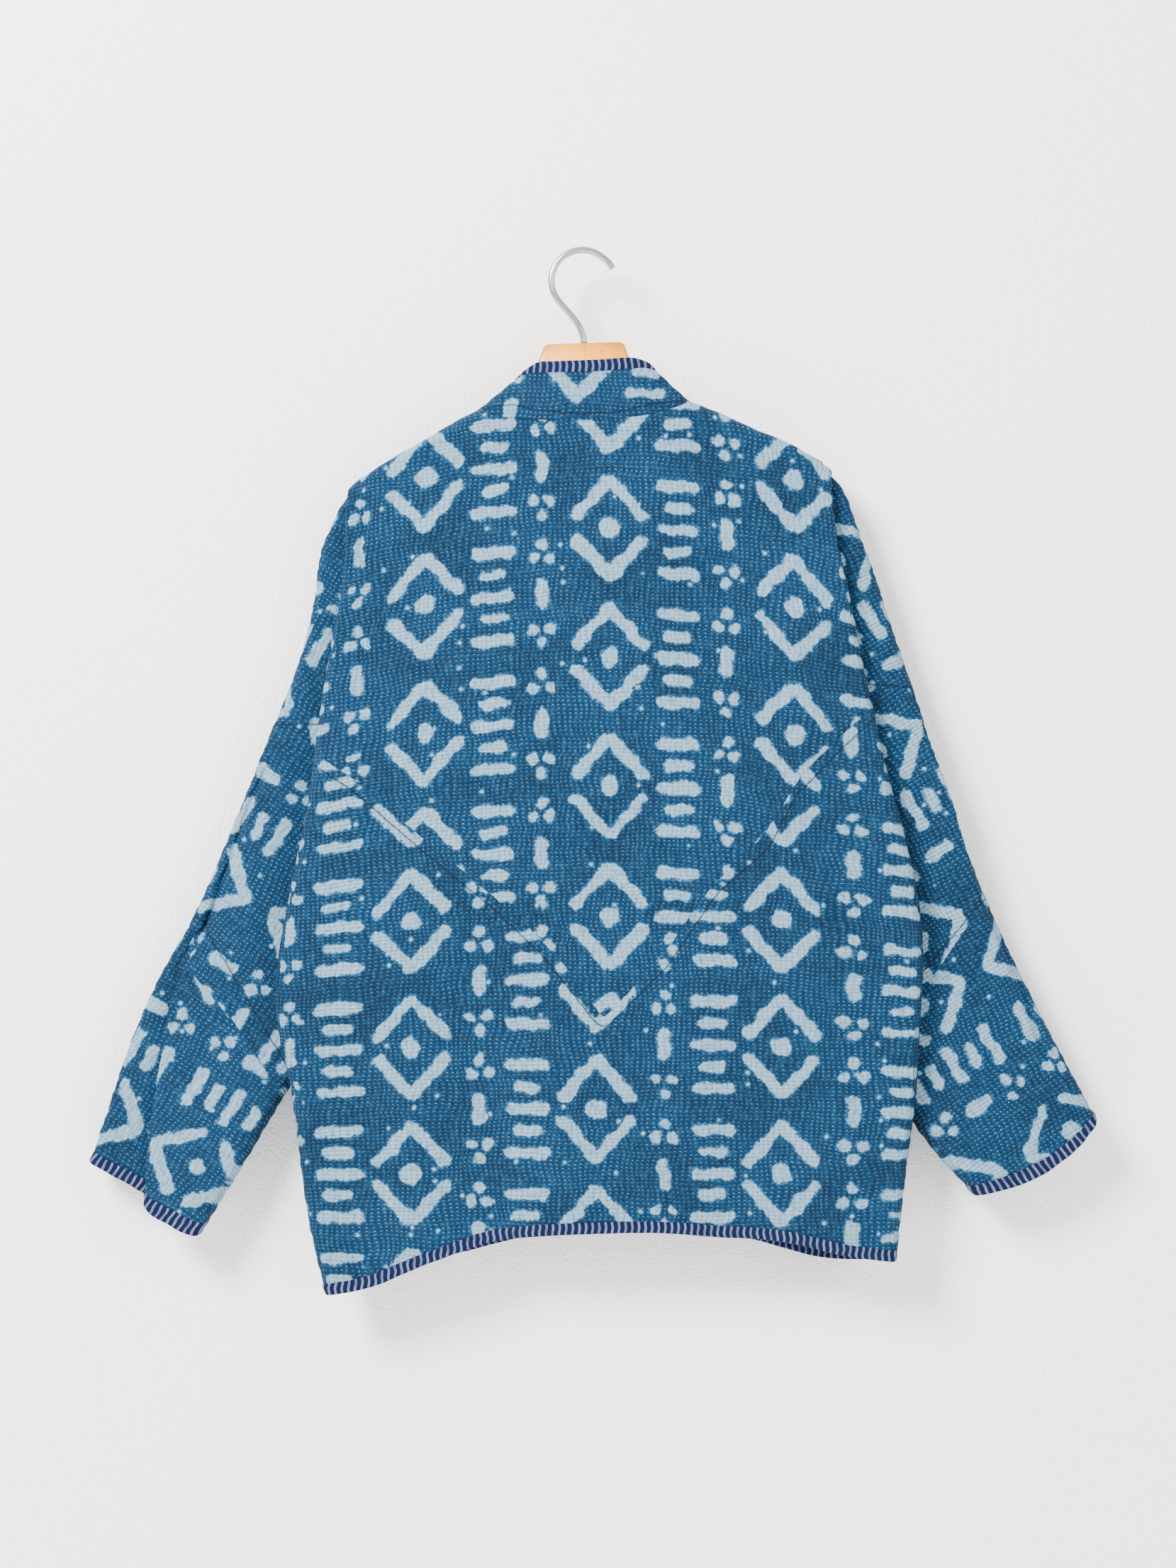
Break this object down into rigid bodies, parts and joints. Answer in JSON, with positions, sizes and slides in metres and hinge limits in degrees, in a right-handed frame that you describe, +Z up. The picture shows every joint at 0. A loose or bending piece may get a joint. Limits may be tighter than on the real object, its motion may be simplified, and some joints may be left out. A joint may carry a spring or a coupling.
{
  "type": "kantha jacket on a wooden hanger",
  "caption": "Open-front quilted kantha jacket with a band collar, wide body, V-seamed back and long sleeves, hanging with its back outwards on a flat wooden hanger with a rod hook.",
  "frame": {"origin": "underside of the hook's crown, where a rail or a peg carries the hanger", "axes": "+Z up; -Y the side that the jacket's back faces, the side shown; +X the wearer's right, on the right when the back is seen"},
  "size_m": [0.8824, 0.0687, 0.9124],
  "materials": {
    "cotton": "quilted resist-printed cotton",
    "binding": "striped cotton tape",
    "beech": "clear satin varnish",
    "steel": "satin plated"
  },
  "bodies": {
    "root": {"back_yoke": "cotton", "back_lower": "cotton", "front_left": "cotton", "front_right": "cotton", "sleeve_left_head": "cotton", "sleeve_left_upper": "cotton", "sleeve_left_lower": "cotton", "sleeve_right_head": "cotton", "sleeve_right_upper": "cotton", "sleeve_right_lower": "cotton", "collar": "cotton", "collar_binding": "binding", "hem_binding": "binding", "front_left_binding": "binding", "front_right_binding": "binding", "cuff_left_binding": "binding", "cuff_right_binding": "binding", "hanger": "beech", "hook": "steel"}
  },
  "joints": []
}
